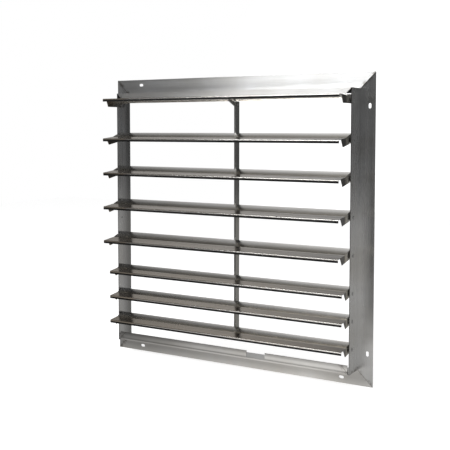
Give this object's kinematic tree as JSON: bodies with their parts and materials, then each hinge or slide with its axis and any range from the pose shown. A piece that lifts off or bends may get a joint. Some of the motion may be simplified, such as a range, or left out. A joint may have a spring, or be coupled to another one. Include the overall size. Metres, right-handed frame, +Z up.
{
  "type": "exhaust shutter",
  "caption": "Square gravity exhaust shutter: mitred aluminium wall frame with slotted flange, folded blades with black edge seals, and a tie bar that turns the blades together.",
  "frame": {"origin": "centre of the opening on the wall plane, which is the back of the flange", "axes": "+Z up, +X along the blades to the right seen from outdoors, +Y into the wall, blades on the -Y side"},
  "size_m": [0.7494, 0.1241, 0.7494],
  "materials": {
    "frame_aluminium": "mill finish",
    "angle_steel": "black paint",
    "blade_aluminium": "mill finish, rolled",
    "bracket_aluminium": "mill finish",
    "bar_aluminium": "mill finish",
    "rivet_aluminium": "plain",
    "seal_vinyl": "soft matte",
    "bushing_nylon": "moulded",
    "pin_steel": "plated"
  },
  "bodies": {
    "frame": {"top_rail": "frame_aluminium", "bottom_rail": "frame_aluminium", "left_stile": "frame_aluminium", "right_stile": "frame_aluminium", "corner_angle_top_left": "angle_steel", "corner_angle_bottom_left": "angle_steel", "corner_angle_top_right": "angle_steel", "corner_angle_bottom_right": "angle_steel", "corner_rivets": "rivet_aluminium", "left_bushings": "bushing_nylon", "right_bushings": "bushing_nylon"},
    "blade_1_unit": {"blade_1": "blade_aluminium", "edge_seal_1": "seal_vinyl", "pivot_pins_1": "pin_steel", "tie_bracket_1": "bracket_aluminium", "bracket_rivets_1": "rivet_aluminium"},
    "blade_2_unit": {"blade_2": "blade_aluminium", "edge_seal_2": "seal_vinyl", "pivot_pins_2": "pin_steel", "tie_bracket_2": "bracket_aluminium", "bracket_rivets_2": "rivet_aluminium"},
    "blade_3_unit": {"blade_3": "blade_aluminium", "edge_seal_3": "seal_vinyl", "pivot_pins_3": "pin_steel", "tie_bracket_3": "bracket_aluminium", "bracket_rivets_3": "rivet_aluminium"},
    "blade_4_unit": {"blade_4": "blade_aluminium", "edge_seal_4": "seal_vinyl", "pivot_pins_4": "pin_steel", "tie_bracket_4": "bracket_aluminium", "bracket_rivets_4": "rivet_aluminium"},
    "blade_5_unit": {"blade_5": "blade_aluminium", "edge_seal_5": "seal_vinyl", "pivot_pins_5": "pin_steel", "tie_bracket_5": "bracket_aluminium", "bracket_rivets_5": "rivet_aluminium"},
    "blade_6_unit": {"blade_6": "blade_aluminium", "edge_seal_6": "seal_vinyl", "pivot_pins_6": "pin_steel", "tie_bracket_6": "bracket_aluminium", "bracket_rivets_6": "rivet_aluminium"},
    "blade_7_unit": {"blade_7": "blade_aluminium", "edge_seal_7": "seal_vinyl", "pivot_pins_7": "pin_steel", "tie_bracket_7": "bracket_aluminium", "bracket_rivets_7": "rivet_aluminium"},
    "blade_8_unit": {"blade_8": "blade_aluminium", "edge_seal_8": "seal_vinyl", "pivot_pins_8": "pin_steel", "tie_bracket_8": "bracket_aluminium", "bracket_rivets_8": "rivet_aluminium"},
    "tie_bar_unit": {"tie_bar": "bar_aluminium", "tie_pins": "pin_steel"}
  },
  "joints": [
    {"name": "blade_1_hinge", "type": "hinge", "parent": "frame", "child": "blade_1_unit", "pos_m": [0, -0.0396, 0.3045], "axis": [1, 0, 0], "range_deg": [0, 80]},
    {"name": "blade_2_hinge", "type": "hinge", "parent": "frame", "child": "blade_2_unit", "pos_m": [0, -0.0396, 0.2145], "axis": [1, 0, 0], "range_deg": [0, 70]},
    {"name": "blade_3_hinge", "type": "hinge", "parent": "frame", "child": "blade_3_unit", "pos_m": [0, -0.0396, 0.1245], "axis": [1, 0, 0], "range_deg": [0, 70]},
    {"name": "blade_4_hinge", "type": "hinge", "parent": "frame", "child": "blade_4_unit", "pos_m": [0, -0.0396, 0.0345], "axis": [1, 0, 0], "range_deg": [0, 70]},
    {"name": "blade_5_hinge", "type": "hinge", "parent": "frame", "child": "blade_5_unit", "pos_m": [0, -0.0396, -0.0555], "axis": [1, 0, 0], "range_deg": [0, 70]},
    {"name": "blade_6_hinge", "type": "hinge", "parent": "frame", "child": "blade_6_unit", "pos_m": [0, -0.0396, -0.1455], "axis": [1, 0, 0], "range_deg": [0, 70]},
    {"name": "blade_7_hinge", "type": "hinge", "parent": "frame", "child": "blade_7_unit", "pos_m": [0, -0.0396, -0.212], "axis": [1, 0, 0], "range_deg": [0, 70]},
    {"name": "blade_8_hinge", "type": "hinge", "parent": "frame", "child": "blade_8_unit", "pos_m": [0, -0.0396, -0.2785], "axis": [1, 0, 0], "range_deg": [0, 70]},
    {"name": "tie_bar_hinge", "type": "hinge", "parent": "blade_5_unit", "child": "tie_bar_unit", "pos_m": [0.01128, -0.0156, -0.0555], "axis": [1, 0, 0], "range_deg": [-70, 0]}
  ],
  "couplings": [
    {"joint": "blade_1_hinge", "follows": "blade_5_hinge", "ratio": 1.1429},
    {"joint": "blade_2_hinge", "follows": "blade_5_hinge", "ratio": 1},
    {"joint": "blade_3_hinge", "follows": "blade_5_hinge", "ratio": 1},
    {"joint": "blade_4_hinge", "follows": "blade_5_hinge", "ratio": 1},
    {"joint": "blade_6_hinge", "follows": "blade_5_hinge", "ratio": 1},
    {"joint": "blade_7_hinge", "follows": "blade_5_hinge", "ratio": 1},
    {"joint": "blade_8_hinge", "follows": "blade_5_hinge", "ratio": 1},
    {"joint": "tie_bar_hinge", "follows": "blade_5_hinge", "ratio": -1}
  ]
}
